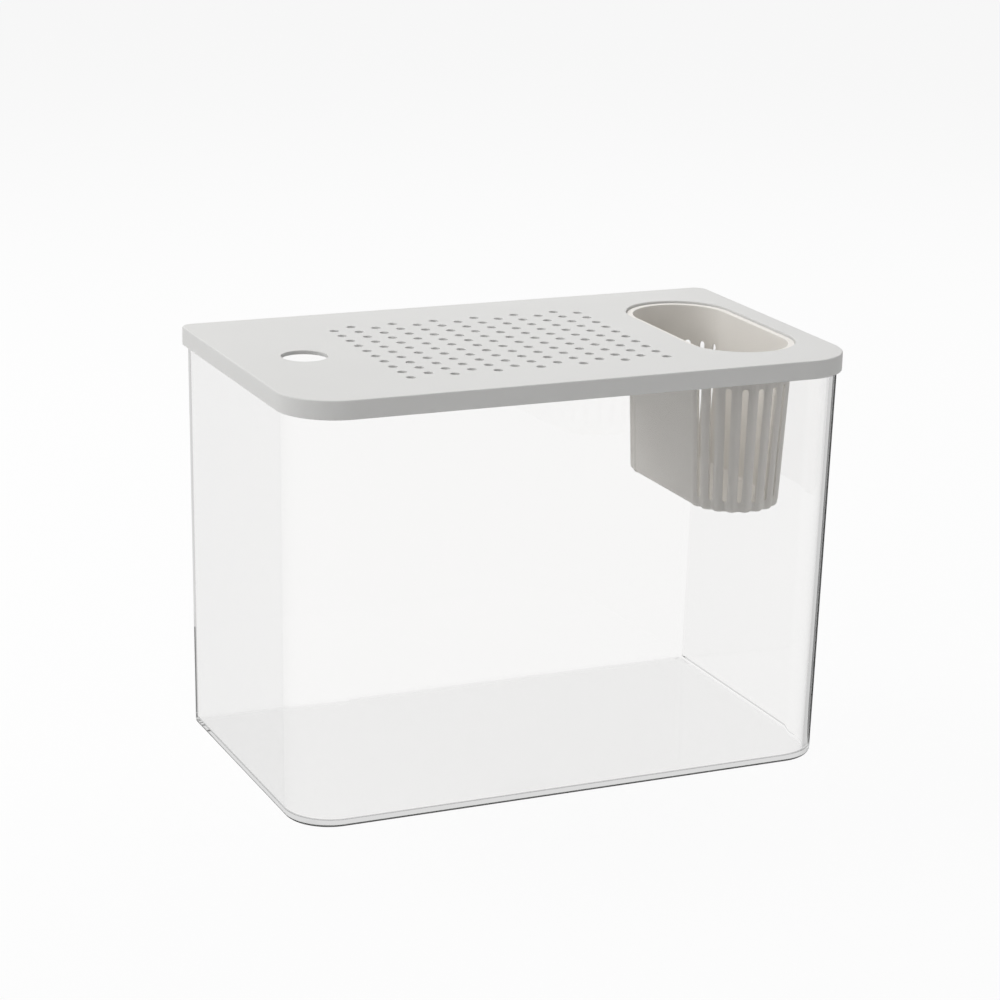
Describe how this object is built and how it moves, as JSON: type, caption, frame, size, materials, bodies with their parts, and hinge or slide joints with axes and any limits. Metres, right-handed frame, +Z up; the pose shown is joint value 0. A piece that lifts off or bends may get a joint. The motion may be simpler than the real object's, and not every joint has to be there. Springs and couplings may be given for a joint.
{
  "type": "fish tank",
  "caption": "Small clear plastic fish tank with a lift-off vented lid, a round feed hole and a slotted plant basket hanging through the lid.",
  "frame": {"origin": "centre of the tank's base, on the surface it stands on", "axes": "+X along the length towards the plant basket, +Y towards the back, +Z up"},
  "size_m": [0.3, 0.173, 0.214],
  "materials": {
    "clear_plastic": "clear, polished, injection moulded",
    "lid_plastic": "light warm grey, fine matte texture",
    "basket_plastic": "light warm grey, fine matte texture"
  },
  "bodies": {
    "tank": {"tank": "clear_plastic"},
    "lid": {"lid": "lid_plastic"},
    "plant_basket": {"plant_basket": "basket_plastic"}
  },
  "joints": [
    {"name": "lid_lift", "type": "slide", "parent": "tank", "child": "lid", "axis": [0, 0, 1], "range_m": [0, 0.095]},
    {"name": "basket_lift", "type": "slide", "parent": "lid", "child": "plant_basket", "axis": [0, 0, 1], "range_m": [0, 0.09]}
  ]
}
